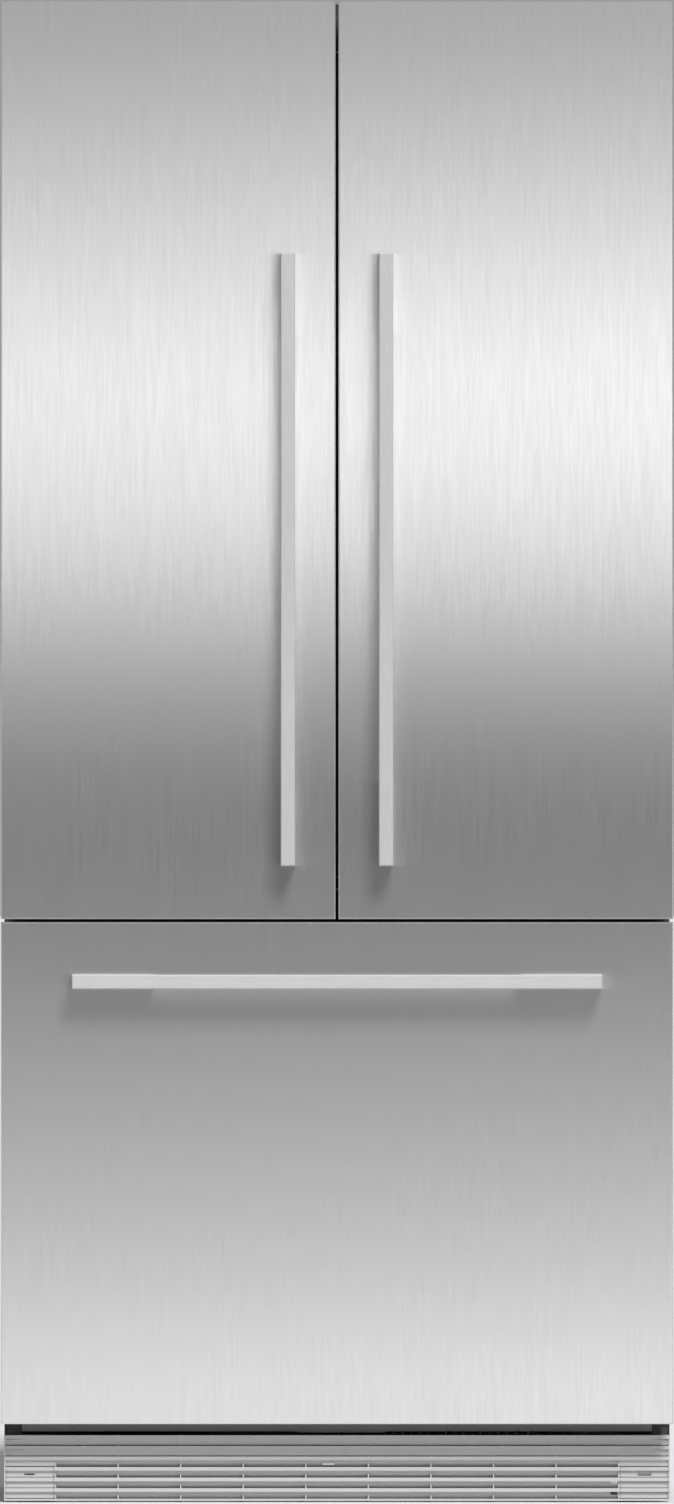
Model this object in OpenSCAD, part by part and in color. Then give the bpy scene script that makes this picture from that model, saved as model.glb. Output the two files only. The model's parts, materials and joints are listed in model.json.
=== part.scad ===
// French door refrigerator for building into a kitchen run: two doors above, one freezer drawer below.
// Millimetres. X runs to the right, Y to the back, Z up. The origin is on the floor, at the centre of
// the whole object's box.

/* [Overall size] */
// Width across the two door panels
front_w = 906; // [860:1:960]
// Height from the floor to the top of the door panels
overall_h = 2024; // [1960:1:2100]
// Width of the cabinet behind the panels
case_w = 898; // [850:1:898]
// Depth of the cabinet alone
case_d = 552; // [540:1:580]

/* [Doors and drawer] */
// Thickness of a stainless front panel
panel_t = 20; // [18:1:22]
// Thickness of an insulated door core
core_t = 44; // [42:1:50]
// Height of a compressed door gasket
gasket_t = 10; // [9:1:12]
// Gap between neighbouring panels
panel_gap = 4; // [3:0.5:5]
// Height of the drawer panel's lower edge above the floor
kick_h = 107; // [105:1:110]
// Height of the drawer panel
drawer_panel_h = 676; // [670:1:680]
// Chamfer round a panel's face
panel_chamfer = 1.6; // [1:0.1:2]

/* [Handles] */
// Width of a handle's face
handle_w = 19; // [16:1:24]
// Depth of a handle's bar
handle_bar_t = 14; // [12:1:18]
// How far a handle stands out of its panel
handle_reach = 48; // [44:1:52]
// Length of a door handle
door_handle_len = 824; // [700:1:900]
// Length of the drawer handle
drawer_handle_len = 713; // [600:1:760]
// Length of the solid foot at each end of a handle
handle_foot_len = 110; // [60:1:130]
// Distance of a door handle's centre line from the middle of the refrigerator
handle_x = 66; // [55:1:80]
// Height of a door handle's lower end
handle_z = 859; // [840:1:900]
// Height of the drawer handle's centre line
drawer_handle_z = 703; // [690:1:720]

/* [Kick grille] */
// Number of louvre blades
louvre_count = 7; // [6:1:7]
// Distance from one blade to the next
louvre_pitch = 14.3; // [14:0.1:14.4]
// Height of a blade's front nose
louvre_nose = 4.8; // [4:0.1:5.4]
// Width of the open part between the closed ends
vent_w = 759.6; // [700:0.1:759.6]
// Number of bays between the ribs of the open part
bay_count = 9; // [7:1:11]

/* [Inside] */
// Heights of the glass shelves' undersides, the last being the crisper cover
shelf_z = [1640, 1410, 1200, 1040]; // [1040:5:1800]
// Heights of the door bins' undersides
bin_z = [1660, 1370, 1085]; // [900:5:1800]

/* [Hidden] */
$fn = 64;

// Depth stations, from the handles' faces to the back
total_d = case_d + gasket_t + core_t + panel_t + handle_reach;
y_back = total_d / 2;
y_case = y_back - case_d;
y_core_back = y_case - gasket_t;
y_core_front = y_core_back - core_t;
y_front = y_core_front - panel_t;
y_handle = y_front - handle_reach;

// Sheet and moulding thicknesses
sheet = 1.5;
liner_t = 3;
bin_wall = 3;
wall = 45;

// Cabinet
case_x = case_w / 2;
case_top = 2004;
case_foot = 40;
liner_x = case_x - wall;
foam_x = case_x - sheet;
belly_z = 107;
belly_sheet_z = belly_z - sheet;

// Compartments: each liner's outer faces
fridge_z = [825, 1958];
freezer_z = [150, 745];
liner_back = y_back - 62;
step_y = 90;
step_z = 335;
machine_y = 135;
machine_z = 290;
pan_top = 56;

// Front panels
drawer_panel_z = [kick_h, kick_h + drawer_panel_h];
door_panel_z = [drawer_panel_z[1] + panel_gap, overall_h];
door_panel_x = [-front_w / 2, -panel_gap / 2];

// Door cores
door_core_x = [-case_x, -4];
door_core_z = [792, 2001];
drawer_core_x = [-case_x + 4, case_x - 4];
drawer_core_z = [112, 778];
gasket_w = 16;
dike_t = 12;
dike_reach = 30;
bin_ledge = 12;
door_dike_x = [-liner_x + 6, -50];
door_dike_z = [836, 1948];

// Door pivots
pivot_x = -case_x + 14;
pivot_y = y_core_back - 22;
pin_r = 6;
run_gap = 0.05;
boss_h = 32;

// Handle screws
screw_r = 2.5;

// Centre mullion flap, hinged on the left door
flap_pivot = [-36, y_case + 9];
flap_r = 9;
flap_tip_x = 34;
flap_z = [844, 1940];
flap_pin_r = 4;

// Shelves and crispers; the crispers slide on ledges at crisper_ledge_z
shelf_x = 400;
shelf_y = [-85, 225];
glass_t = 5;
crisper_ledge_z = 1000;
crisper_x = [-384, -19];
crisper_y = [-50, 218];

// Freezer drawer runners
rail_z = 390;
rail_y = [y_case + 12, 225];
arm_x = [366, 376, 380];
bin_ledge_z = 392;
tray_ledge_z = 434;
slide_gap = 0.2;

// Air covers on the back walls
cover_y = liner_back - liner_t - 40;

// Fans
fan_shaft_r = 3;
condenser_fan_at = [-20, 240, 140];
freezer_fan_at = [0, cover_y + 20, 655];

// Front feet and rear rollers
foot_at = [400, -170];
stud_r = 5;
roller_at = [400, 290];
roller_r = 22;
axle_r = 4;

// Connections at the back
valve_at = [330, 120];
valve_bore_r = 6.6;
gland_at = [390, 120];
gland_bore_r = 5;

// Kick grille
grille_front = y_core_front + 29;
grille_back = grille_front + 18;
grille_z = [2, nose_top(louvre_count - 1)];
bays_x = vent_w / 2;
bay_w = vent_w / bay_count;
band_h = 4.5;
last_open = louvre_count - 3;
cap_x = [382.4, 446.4];
cap_z = [5.4, nose_top(3)];
cap_gap = 0.4;
column_x = [425, 447];

steel = [0.78, 0.78, 0.78];
bright = [0.84, 0.84, 0.84];
dark = [0.29, 0.29, 0.29];
white = [0.93, 0.94, 0.94];
clear = [0.82, 0.88, 0.92];
grey = [0.6, 0.61, 0.62];
rubber = [0.55, 0.56, 0.57];
foam = [0.9, 0.85, 0.62];
copper = [0.72, 0.45, 0.3];

// ---------- building blocks ----------

// A box given by its range on each axis
module blk(x, y, z) {
    translate([x[0], y[0], z[0]]) cube([x[1] - x[0], y[1] - y[0], z[1] - z[0]]);
}

// A frame: one box with another cut right through it along Y
module ring_y(x, y, z, w) {
    difference() {
        blk(x, y, z);
        blk([x[0] + w, x[1] - w], [y[0] - 1, y[1] + 1], [z[0] + w, z[1] - w]);
    }
}

// An outline drawn in Y and Z, extruded along X
module along_x(x) {
    translate([x[0], 0, 0]) rotate([90, 0, 90]) linear_extrude(x[1] - x[0]) children();
}

// A round bar or hole along one axis
module rod_x(x, y, z, r) {
    translate([x[0], y, z]) rotate([0, 90, 0]) cylinder(h = x[1] - x[0], r = r);
}

module rod_y(x, y, z, r) {
    translate([x, y[0], z]) rotate([-90, 0, 0]) cylinder(h = y[1] - y[0], r = r);
}

module rod_z(x, y, z, r) {
    translate([x, y, z[0]]) cylinder(h = z[1] - z[0], r = r);
}

// The same shape on the left and on the right
module both_sides() {
    children();
    mirror([1, 0, 0]) children();
}

// A block whose front face (the low Y side) has a chamfer all round
module chamfered(x, y, z, c) {
    intersection() {
        translate([0, 0, z[0]]) linear_extrude(z[1] - z[0]) polygon([
            [x[0], y[1]], [x[0], y[0] + c], [x[0] + c, y[0]],
            [x[1] - c, y[0]], [x[1], y[0] + c], [x[1], y[1]]
        ]);
        along_x(x) polygon([
            [y[1], z[0]], [y[0] + c, z[0]], [y[0], z[0] + c],
            [y[0], z[1] - c], [y[0] + c, z[1]], [y[1], z[1]]
        ]);
    }
}

// An open-topped box with a floor
module tub(x, y, z, t) {
    difference() {
        blk(x, y, z);
        blk([x[0] + t, x[1] - t], [y[0] + t, y[1] - t], [z[0] + t, z[1] + 1]);
    }
}

// A finned tube coil: straight tubes along X joined by return bends, with fins across them
module coil(x, y, z, rows, fins, r) {
    $fn = 16;
    pitch = (z[1] - z[0]) / rows;
    mid_y = (y[0] + y[1]) / 2;
    for (i = [0 : rows - 1])
        rod_x(x, mid_y, z[0] + (i + 0.5) * pitch, r);
    for (i = [0 : rows - 2])
        translate([i % 2 == 0 ? x[1] : x[0], mid_y, z[0] + (i + 1) * pitch])
            rotate([90, i % 2 == 0 ? 0 : 180, 0])
                rotate([0, 0, -90])
                    rotate_extrude(angle = 180) translate([pitch / 2, 0]) circle(r = r);
    for (i = [0 : fins - 1]) {
        at = x[0] + (i + 0.5) * (x[1] - x[0]) / fins;
        blk([at - 0.5, at + 0.5], y, z);
    }
}

// An axial fan rotor along Z: a bored hub and pitched blades inside a radius
module rotor(r, hub_r, h, blades, bore_r) {
    difference() {
        union() {
            cylinder(h = h, r = hub_r);
            intersection() {
                for (i = [0 : blades - 1])
                    rotate([0, 0, i * 360 / blades])
                        translate([hub_r - 2, -hub_r * 0.8, h / 2])
                            rotate([28, 0, 0]) translate([0, 0, -0.8])
                                cube([r - hub_r + 6, hub_r * 1.6, 1.6]);
                cylinder(h = h, r = r);
            }
        }
        translate([0, 0, -1]) cylinder(h = h - 3, r = bore_r);
    }
}

// ---------- cabinet ----------

module outer_case() {
    color(grey) {
        difference() {
            blk([-case_x, case_x], [y_case, y_back], [case_foot, case_top]);
            blk([-foam_x, foam_x], [y_case + sheet, y_back + 1], [case_foot - 1, case_top - sheet]);
            blk([-liner_x, liner_x], [y_case - 1, y_case + sheet + 1], [freezer_z[0], fridge_z[1]]);
            blk([-case_x - 1, case_x + 1], [y_case - 1, y_case + sheet], [0, belly_sheet_z]);
        }
    }
}

// One folded sheet: the back, the roof and front of the machine compartment, and the belly
module rear_panel() {
    s = sheet;
    back = y_back - s;
    color(grey) along_x([-foam_x, foam_x]) polygon([
        [back, case_top - s], [back, machine_z], [machine_y, machine_z],
        [machine_y, belly_z], [y_case + s, belly_z],
        [y_case + s, belly_z - s], [machine_y + s, belly_z - s],
        [machine_y + s, machine_z - s], [y_back, machine_z - s], [y_back, case_top - s]
    ]);
}

// The freezer's volume steps forward over the machine compartment
module freezer_outline(in) {
    polygon([
        [y_case, freezer_z[0] + in], [step_y - in, freezer_z[0] + in],
        [step_y - in, step_z + in], [liner_back - in, step_z + in],
        [liner_back - in, freezer_z[1] - in], [y_case, freezer_z[1] - in]
    ]);
}

module fridge_liner() {
    ledge_y = [-60, 200];
    color(white) {
        difference() {
            blk([-liner_x, liner_x], [y_case, liner_back], fridge_z);
            blk([-liner_x + liner_t, liner_x - liner_t], [y_case - 1, liner_back - liner_t],
                [fridge_z[0] + liner_t, fridge_z[1] - liner_t]);
        }
        for (z = shelf_z)
            both_sides() blk([liner_x - 11, liner_x - liner_t], ledge_y, [z - 16, z - 8]);
        // guide blocks above and below the centre flap
        for (z = [[fridge_z[0] + liner_t, flap_z[0] - 1.5], [flap_z[1] + 1.5, fridge_z[1] - liner_t]])
            blk([-20, 30], [y_case + 2, y_case + 24], z);
    }
}

module freezer_liner() {
    color(white) difference() {
        along_x([-liner_x, liner_x]) freezer_outline(0);
        along_x([-liner_x + liner_t, liner_x - liner_t]) freezer_outline(liner_t);
        blk([-liner_x + liner_t, liner_x - liner_t], [y_case - 1, y_case + 1],
            [freezer_z[0] + liner_t, freezer_z[1] - liner_t]);
    }
}

module cabinet_foam() {
    front = y_case + sheet;
    back = y_back - sheet;
    color(foam) difference() {
        along_x([-foam_x, foam_x]) polygon([
            [front, belly_z], [machine_y, belly_z], [machine_y, machine_z],
            [back, machine_z], [back, case_top - sheet], [front, case_top - sheet]
        ]);
        blk([-liner_x, liner_x], [y_case, liner_back], fridge_z);
        along_x([-liner_x, liner_x]) freezer_outline(0);
    }
}

module middle_rail() {
    color(grey) blk([-liner_x, liner_x], [y_case, y_case + sheet], [freezer_z[1], fridge_z[0]]);
}

module base_frame() {
    side_x = [431, foam_x];
    pan_z = [pan_top - 2, pan_top];
    color(dark) difference() {
        union() {
            both_sides() {
                blk(side_x, [y_case + 10, y_back - 7], [case_foot, 100]);
                blk([376, side_x[1]], [foot_at[1] - 22, foot_at[1] + 22], [32, 62]);
                for (ear = [[386, 390], [410, 414]])
                    blk(ear, [roller_at[1] - 12, roller_at[1] + 12], [12, pan_z[1]]);
            }
            blk([-425, 425], [y_case, y_case + 14], [95, belly_sheet_z]);
            blk([-52, 64], [y_case, y_case + 3], [93.5, 96]);
            // skirt under the back of the tray
            blk([-385, 385], [y_back - 9, y_back - 7], [18, pan_z[0]]);
            // brackets that carry the kick grille
            both_sides() blk(side_x, [grille_back, y_case + 10], [50, 88]);
            both_sides() blk([425, foam_x], [y_case + 6, y_case + 20], [85, belly_sheet_z]);
            blk([-foam_x, foam_x], [machine_y + 5, y_back - 7], pan_z);
            blk([-foam_x, foam_x], [y_case + 10, y_case + 26], pan_z);
            both_sides() blk([side_x[0] - 20, side_x[0]], [y_case + 10, y_back - 7], pan_z);
            // post and shaft of the condenser fan
            blk([condenser_fan_at[0] + 24, condenser_fan_at[0] + 28],
                [condenser_fan_at[1] - 14, condenser_fan_at[1] + 14],
                [pan_z[0], condenser_fan_at[2] + 14]);
            rod_x([condenser_fan_at[0] + 2, condenser_fan_at[0] + 26],
                condenser_fan_at[1], condenser_fan_at[2], fan_shaft_r);
        }
        both_sides() {
            rod_z(foot_at[0], foot_at[1], [20, 90], stud_r + run_gap);
            rod_x([380, 420], roller_at[1], roller_r, axle_r + run_gap);
            blk([390.5, 409.5], [roller_at[1] - 26, roller_at[1] + 26], [0, 58]);
        }
    }
}

module top_bracket() {
    base_y = y_case + 15;
    color(steel) difference() {
        union() {
            blk([-60, 60], [base_y, base_y + 50], [case_top, case_top + 2]);
            blk([-60, 60], [base_y, base_y + 2], [case_top, overall_h - 2]);
        }
        both_sides() rod_y(40, [base_y - 1, base_y + 3], case_top + 11, 2.75);
    }
}

module top_hinges() {
    plate_z = [case_top, case_top + 6];
    screws = [for (at = [[0, 22], [32, 22], [16, 74]]) [pivot_x + at[0], y_case + at[1]]];
    color(bright) both_sides() for (at = screws) {
        rod_z(at[0], at[1], [case_top, plate_z[1]], 2.9);
        rod_z(at[0], at[1], [plate_z[1], plate_z[1] + 3], 5.5);
    }
    color(steel) both_sides() difference() {
        union() {
            blk([pivot_x - 12, pivot_x + 44], [y_case + 4, y_case + 90], plate_z);
            blk([pivot_x - 12, pivot_x + 14], [pivot_y, y_case + 6], plate_z);
            rod_z(pivot_x + 1, pivot_y, plate_z, 13);
            rod_z(pivot_x, pivot_y, [door_core_z[1] - 24, plate_z[1]], pin_r);
        }
        for (at = screws) rod_z(at[0], at[1], [case_top - 1, case_top + 7], 3);
    }
}

module lower_hinges() {
    plate_z = [drawer_core_z[1] + 3, door_core_z[0] - 3];
    color(steel) both_sides() {
        blk([pivot_x - 12, pivot_x + 16], [pivot_y, y_case], plate_z);
        rod_z(pivot_x + 1, pivot_y, plate_z, 13);
        rod_z(pivot_x, pivot_y, [plate_z[0], door_core_z[0] + 24], pin_r);
        rod_z(pivot_x, pivot_y, [plate_z[1], door_core_z[0]], 10);
        difference() {
            blk([pivot_x - 12, pivot_x + 50], [y_case - 3, y_case], [plate_z[0], plate_z[1] + 6]);
            rod_y(pivot_x + 38, [y_case - 4, y_case + 1], plate_z[0] + 7, 2.5);
        }
    }
}

// ---------- inside the fridge ----------

module shelf_outline(z, in) {
    blk([-shelf_x + in, shelf_x - in], [shelf_y[0] + in, shelf_y[1] - in], z);
}

module shelf_frames() {
    color(steel) for (z = shelf_z) difference() {
        shelf_outline([z - 8, z + 8], 0);
        shelf_outline([z, z + 9], 9);
        shelf_outline([z - 9, z + 1], 18);
    }
}

module glass_shelves() {
    color(clear) for (z = shelf_z) shelf_outline([z, z + glass_t], 9);
}

module crisper_rails() {
    ledge_y = [-45, 215];
    ledge_z = [crisper_ledge_z - 10, crisper_ledge_z];
    color(white) {
        both_sides() blk([386, liner_x - liner_t], ledge_y, ledge_z);
        blk([-16, 16], ledge_y, ledge_z);
        blk([-3, 3], ledge_y, [ledge_z[0], shelf_z[3] - 8]);
    }
}

module crisper() {
    x = crisper_x;
    y = crisper_y;
    z = [838, crisper_ledge_z + 10];
    flange_z = [crisper_ledge_z + slide_gap, crisper_ledge_z + 9];
    color(clear) {
        tub(x, y, z, bin_wall);
        blk([x[0] - 11, x[0]], y, flange_z);
        blk([x[1], x[1] + 13], y, flange_z);
        // hollow grip along the front
        difference() {
            blk([x[0] + 60, x[1] - 60], [y[0] - 16, y[0]], [z[1] - 30, z[1]]);
            blk([x[0] + 63, x[1] - 63], [y[0] - 13, y[0]], [z[1] - 31, z[1] - 4]);
        }
    }
}

module left_crisper() { crisper(); }

module right_crisper() { mirror([1, 0, 0]) crisper(); }

module air_tower() {
    x = [-150, 150];
    z = [1060, 1940];
    color(white) difference() {
        chamfered(x, [cover_y, liner_back - liner_t], z, 10);
        blk([x[0] + 3, x[1] - 3], [cover_y + 3, liner_back - liner_t + 1], [z[0] + 3, z[1] - 3]);
        for (level = [0 : 3], side = [-1, 1], row = [0 : 2])
            blk([side * 85 - 45, side * 85 + 45], [cover_y - 1, cover_y + 4],
                [1150 + level * 220 + row * 12, 1155 + level * 220 + row * 12]);
    }
}

module fridge_evaporator() {
    color(grey) coil([-115, 115], [cover_y + 8, liner_back - liner_t], [1300, 1620], 8, 18, 4);
}

module light_lenses() {
    color(clear) {
        blk([-170, 170], [-110, 20], [fridge_z[1] - liner_t - 8, fridge_z[1] - liner_t]);
        blk([-100, 100], [-190, -150], [freezer_z[1] - liner_t - 6, freezer_z[1] - liner_t]);
    }
}

module control_panel() {
    low = fridge_z[1] - liner_t - 10;
    color(dark) difference() {
        blk([-130, 130], [-185, -125], [low, fridge_z[1] - liner_t]);
        for (i = [-2 : 2]) rod_z(i * 44, -155, [low - 1, low + 1.2], 9);
    }
}

// ---------- inside the freezer ----------

module freezer_air_cover() {
    x = [-300, 300];
    z = [step_z + 13, freezer_z[1] - 12];
    color(white) {
        difference() {
            chamfered(x, [cover_y, liner_back - liner_t], z, 8);
            blk([x[0] + 3, x[1] - 3], [cover_y + 3, liner_back - liner_t + 1],
                [z[0] + 3, z[1] - 3]);
            for (side = [-1, 1], row = [0 : 5])
                blk([side * 190 - 70, side * 190 + 70], [cover_y - 1, cover_y + 4],
                    [600 + row * 16, 606 + row * 16]);
            for (row = [-3 : 3])
                blk([-38, 38], [cover_y - 1, cover_y + 4],
                    [freezer_fan_at[2] + row * 12 - 3, freezer_fan_at[2] + row * 12 + 3]);
            for (i = [0 : 6])
                blk([-270 + i * 80, -210 + i * 80], [cover_y - 1, cover_y + 4],
                    [z[0] + 14, z[0] + 20]);
        }
        // bearing block and shaft of the freezer fan
        blk([-48, 48], [cover_y + 26, cover_y + 30],
            [freezer_fan_at[2] - 8, freezer_fan_at[2] + 8]);
        for (side = [-1, 1])
            blk([side * 50 - 4, side * 50 + 4], [cover_y + 3, cover_y + 30],
                [freezer_fan_at[2] - 8, freezer_fan_at[2] + 8]);
        rod_y(0, [cover_y + 11, cover_y + 28], freezer_fan_at[2], fan_shaft_r);
    }
}

module freezer_fan() {
    color(dark) translate([freezer_fan_at[0], cover_y + 7, freezer_fan_at[2]])
        rotate([-90, 0, 0]) mirror([0, 0, 1]) translate([0, 0, -16])
            rotor(42, 14, 16, 7, fan_shaft_r + run_gap);
}

module freezer_evaporator() {
    color(grey) coil([-240, 240], [cover_y + 8, liner_back - liner_t], [390, 590], 5, 26, 4);
}

module ice_maker() {
    x = [-392, -150];
    y = [-150, 110];
    top = freezer_z[1] - liner_t;
    color(white) {
        difference() {
            blk([x[0] + 22, x[1]], [y[0] + 34, y[1]], [665, 700]);
            rod_y((x[0] + x[1]) / 2 + 11, [y[0] + 40, y[1] - 6], 712, 42);
        }
        blk([x[0] + 22, x[1]], [y[0], y[0] + 34], [640, 725]);
        for (at = [x[0] + 22, x[1] - 12], end = [y[0] + 4, y[1] - 24])
            blk([at, at + 12], [end, end + 20], [700, top]);
        for (i = [0 : 6])
            blk([x[0] + 60, x[1] - 34], [y[0] + 62 + i * 26, y[0] + 64 + i * 26], [674, 698]);
    }
}

module freezer_bin() {
    x = [-358, 358];
    y = [y_case + 22, step_y - 14];
    color(clear) {
        tub(x, y, [164, bin_ledge_z + 5], bin_wall);
        both_sides() blk([x[1], x[1] + 16], y, [bin_ledge_z, bin_ledge_z + 4]);
        blk([-1.5, 1.5], [y[0] + bin_wall, y[1] - bin_wall], [164 + bin_wall, 330]);
    }
}

module freezer_tray() {
    x = [-364, 364];
    y = [y_case + 24, 50];
    color(clear) {
        tub(x, y, [436, 560], bin_wall);
        both_sides() blk([x[1], x[1] + 12], y, [tray_ledge_z + slide_gap, tray_ledge_z + 6]);
    }
}

// C-shaped runners that nest without touching: outer on the wall, middle between, inner on the drawer
module channel(x, y, half_h, t) {
    both_sides() difference() {
        blk(x, y, [rail_z - half_h, rail_z + half_h]);
        blk([x[0] - 1, x[1] - t], [y[0] - 1, y[1] + 1],
            [rail_z - half_h + t, rail_z + half_h - t]);
    }
}

module drawer_rails_outer() {
    color(steel) channel([388, liner_x - liner_t], rail_y, 20, 2);
}

module drawer_rails_mid() {
    color(bright) channel([386, 398.5], [rail_y[0] + 4, rail_y[1] - 5], 17.5, 2.5);
}

// Inner runner bars with the side arms that carry the bin and the tray
module drawer_rails_inner() {
    arm_y = rail_y[1] - 10;
    color(steel) both_sides() {
        blk([arm_x[2], 395.5], [rail_y[0] + 6, arm_y], [rail_z - 14.5, rail_z + 14.5]);
        blk([arm_x[1], arm_x[2]], [rail_y[0], arm_y], [rail_z - 18, tray_ledge_z - 4]);
        blk([arm_x[0], arm_x[2]], [rail_y[0], arm_y], [tray_ledge_z - 4, tray_ledge_z]);
        blk([arm_x[0] - 5, arm_x[1]], [rail_y[0], step_y - 16], [bin_ledge_z - 4, bin_ledge_z]);
        // front plate screwed to the drawer's liner
        blk([arm_x[0], arm_x[2]], [y_core_back, rail_y[0]], [rail_z - 40, tray_ledge_z]);
    }
}

// ---------- machine compartment ----------

module compressor() {
    at = [-250, 238];
    base = pan_top;
    color(dark) translate([at[0], at[1], 0]) {
        difference() {
            union() {
                rotate_extrude() polygon([
                    [0, base + 10], [62, base + 10], [82, base + 28], [84, base + 90],
                    [88, base + 90], [88, base + 96], [84, base + 96], [82, base + 130],
                    [66, base + 156], [34, base + 167], [0, base + 169]
                ]);
                blk([-92, 92], [-70, -40], [base, base + 12]);
                blk([-92, 92], [40, 70], [base, base + 12]);
                blk([70, 104], [-24, 24], [base + 60, base + 110]);
            }
            for (sx = [-1, 1], sy = [-1, 1])
                rod_z(sx * 80, sy * 55, [base - 1, base + 13], 5);
        }
    }
    color(copper) for (side = [-1, 1])
        translate([at[0], at[1], 0]) rod_z(side * 40, 40, [base + 140, base + 172], 4);
}

module condenser() {
    color(grey) coil([60, 250], [165, 315], [pan_top, pan_top + 150], 6, 16, 4);
}

module condenser_fan() {
    color(dark) translate([condenser_fan_at[0], condenser_fan_at[1], condenser_fan_at[2]])
        rotate([0, -90, 0]) translate([0, 0, -18]) rotor(62, 18, 22, 5, fan_shaft_r + run_gap);
}

module drain_pan() {
    color(dark) {
        tub([-360, 300], [150, 325], [242, 276], 2.5);
        for (x = [-354, 290], y = [158, 316]) rod_z(x, y, [pan_top, 242], 4);
    }
}

module machine_cover() {
    z = [pan_top, machine_z - sheet];
    first_vent_z = 122;
    color(grey) difference() {
        union() {
            blk([-foam_x, foam_x], [y_back - sheet, y_back], z);
            rod_y(gland_at[0], [y_back - 12, y_back], gland_at[1], 10);
        }
        for (side = [-1, 0, 1], row = [0 : 7])
            blk([side * 190 - 80, side * 190 + 80], [y_back - sheet - 1, y_back + 1],
                [first_vent_z + row * 20, first_vent_z + row * 20 + 6]);
        rod_y(gland_at[0], [y_back - 13, y_back + 1], gland_at[1], gland_bore_r);
        rod_y(valve_at[0], [y_back - sheet - 1, y_back + 1], valve_at[1], 13);
    }
}

module water_valve() {
    x = valve_at[0];
    color(white) difference() {
        union() {
            blk([x - 16, x + 16], [y_back - 52, y_back - 20], [pan_top, valve_at[1] + 18]);
            rod_y(x, [y_back - 22, y_back - 0.5], valve_at[1], 11);
        }
        rod_y(x, [y_back - 14.5, y_back + 1], valve_at[1], valve_bore_r);
    }
}

// A front foot's threaded stud, hexagon and pad
module foot() {
    color(dark) translate([-foot_at[0], foot_at[1], 0]) {
        cylinder(h = 7, r = 22);
        translate([0, 0, 7]) cylinder(h = 64, r = stud_r);
        translate([0, 0, 7]) cylinder(h = 7, r = 10, $fn = 6);
    }
}

module left_foot() { foot(); }

module right_foot() { mirror([1, 0, 0]) foot(); }

module rear_rollers() {
    color(dark) both_sides() difference() {
        union() {
            rod_x([392, 408], roller_at[1], roller_r, roller_r);
            rod_x([385, 415], roller_at[1], roller_r, axle_r);
        }
        for (face = [[391, 394], [406, 409]]) difference() {
            rod_x(face, roller_at[1], roller_r, roller_r - 4);
            rod_x([face[0] - 1, face[1] + 1], roller_at[1], roller_r, axle_r + 4);
        }
    }
}

// ---------- kick grille ----------

function nose_top(i) = 4.6 + i * louvre_pitch;
function nose_low(i) = max(grille_z[0], nose_top(i) - louvre_nose);

// A blade in a closed part of the grille: its nose, and a wall that hangs down to the next nose
module closed_blade(i, x) {
    f = grille_front;
    shadow_gap = 1.1;
    foot_z = nose_top(i - 1) + shadow_gap;
    along_x(x) polygon([
        [f, nose_top(i)], [f, nose_low(i)], [f + 4, nose_low(i)], [f + 4, foot_z],
        [f + 6, foot_z], [f + 6, nose_top(i)]
    ]);
}

// A blade in an open bay: its nose, a band below it, and a web that slopes down and back so that
// air passes but nobody can see through
module open_blade(i, x) {
    f = grille_front;
    band_y = f + 5;
    t = 1.2;
    low = nose_low(i);
    band_z = low - band_h;
    web = 6;
    along_x(x) polygon([
        [f, nose_top(i)], [f, low], [band_y, low], [band_y, band_z],
        [band_y + web, band_z - web], [band_y + web + t, band_z - web + t],
        [band_y + t, band_z + t], [band_y + t, nose_top(i)]
    ]);
}

// One rib between two bays; it comes forward only where a slot is open
module rib(x) {
    blk([x - 1, x + 1], [grille_front + 6, grille_back], grille_z);
    for (i = [1 : last_open])
        blk([x - 0.7, x + 0.7], [grille_front + 1, grille_front + 7],
            [nose_top(i - 1) - 0.1, nose_low(i) - band_h]);
}

module kick_grille() {
    end_x = [bays_x, case_x];
    cap_room_x = [cap_x[0] - cap_gap, cap_x[1] + cap_gap];
    cap_room_z = [cap_z[0] - cap_gap, cap_z[1] + cap_gap];
    notch_x = [369, 378];
    color(steel) {
        difference() {
            union() {
                for (i = [1 : last_open]) {
                    open_blade(i, [-bays_x, bays_x]);
                    both_sides() closed_blade(i, end_x);
                }
                for (i = [last_open + 1 : louvre_count - 1])
                    closed_blade(i, [-case_x, case_x]);
            }
            both_sides() blk(cap_room_x, [grille_front - 1, grille_front + 9], cap_room_z);
            // notches for the right cap's latches
            for (i = [1, 2])
                blk(notch_x, [grille_front + 1, grille_front + 7],
                    [nose_low(i) - band_h + 0.5, nose_low(i)]);
            for (i = [last_open + 1 : louvre_count - 1])
                both_sides() hairline(i, column_x);
        }
        blk([-case_x, case_x], [grille_front, grille_front + 6], [grille_z[0], nose_top(0)]);
        for (i = [0 : bay_count]) rib(-bays_x + i * bay_w);
        both_sides() blk([case_x - 2, case_x], [grille_front + 1, grille_back], grille_z);
        both_sides() blk(end_x, [grille_back - 2, grille_back], grille_z);
        // clip in the middle, and the heads of the three fixing screws
        blk([-20, -3], [grille_front + 4, grille_front + 10],
            [nose_low(last_open) - band_h - 2.4, nose_low(last_open) - band_h + 0.5]);
        for (x = [-394, 12, 389])
            rod_y(x, [grille_front + 3, grille_front + 5], nose_low(last_open + 1) - 3, 2.4);
    }
}

// A groove right under a blade's nose
module hairline(i, x) {
    blk(x, [grille_front + 3, grille_front + 5.2], [nose_low(i) - 1, nose_low(i)]);
}

// Clip-in covers over the levelling feet, with a release slot on the left and a latch on the right
module end_cap() {
    for (i = [1 : 3])
        intersection() {
            closed_blade(i, cap_x);
            blk(cap_x, [grille_front, grille_back], cap_z);
        }
    blk(cap_x, [grille_front + 5.5, grille_front + 8], cap_z);
}

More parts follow.
